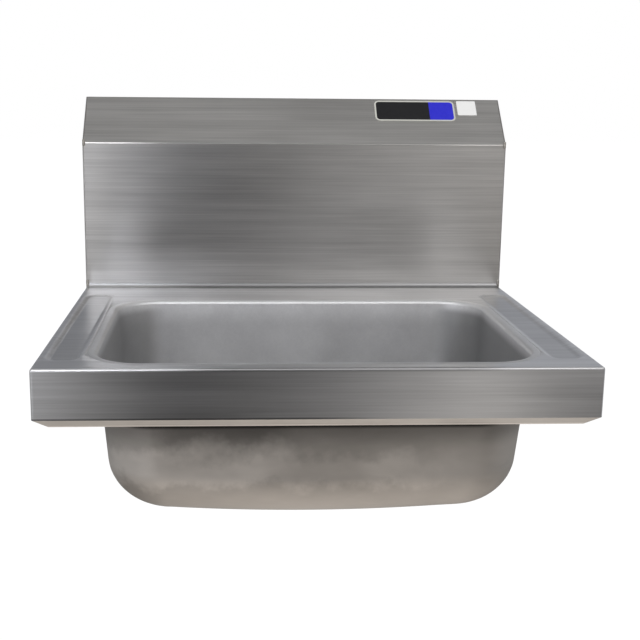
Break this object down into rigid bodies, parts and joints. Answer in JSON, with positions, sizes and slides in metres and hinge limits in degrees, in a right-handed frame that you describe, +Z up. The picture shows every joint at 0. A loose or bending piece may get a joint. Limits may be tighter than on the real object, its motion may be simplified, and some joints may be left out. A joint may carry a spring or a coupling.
{
  "type": "wall-hung hand sink",
  "caption": "Wall-hung stainless steel hand sink with a deep drawn bowl, dished deck, tall splash with a sloping top, hook-on wall bracket and a basket strainer drain.",
  "frame": {"origin": "on the wall plane, in the middle of the wall bracket's row of screw holes, 147 mm above the deck", "axes": "+Z up, +Y into the wall, the user stands at -Y, +X to the user's right"},
  "size_m": [0.4318, 0.3873, 0.348],
  "materials": {
    "brushed_sheet": "brushed along its width",
    "drawn_sheet": "satin, drawn",
    "bracket_sheet": "mill",
    "drain_chrome": "polished",
    "locknut_brass": "cast, plain",
    "strainer_steel": "polished",
    "knob": "polished",
    "rubber": "matt",
    "fibre": "pressed fibre",
    "label": "gloss film",
    "paper": "matt"
  },
  "bodies": {
    "bracket": {"wall_bracket": "bracket_sheet"},
    "sink": {"deck_pan": "brushed_sheet", "sink_bowl": "drawn_sheet", "splash_panel": "brushed_sheet", "splash_end_left": "brushed_sheet", "splash_end_right": "brushed_sheet", "drain_body": "drain_chrome", "drain_gasket": "rubber", "drain_rubber_washer": "rubber", "drain_fibre_washer": "fibre", "drain_locknut": "locknut_brass", "label_plate": "label", "sticker": "paper"},
    "strainer": {"strainer_cup": "strainer_steel", "strainer_post": "strainer_steel", "strainer_knob": "knob", "strainer_nut": "strainer_steel"}
  },
  "joints": [
    {"name": "sink_lift_off", "type": "slide", "parent": "bracket", "child": "sink", "axis": [0, 0, 1], "range_m": [0, 0.022]},
    {"name": "strainer_lift_out", "type": "slide", "parent": "sink", "child": "strainer", "axis": [0, 0, 1], "range_m": [0, 0.165]}
  ]
}
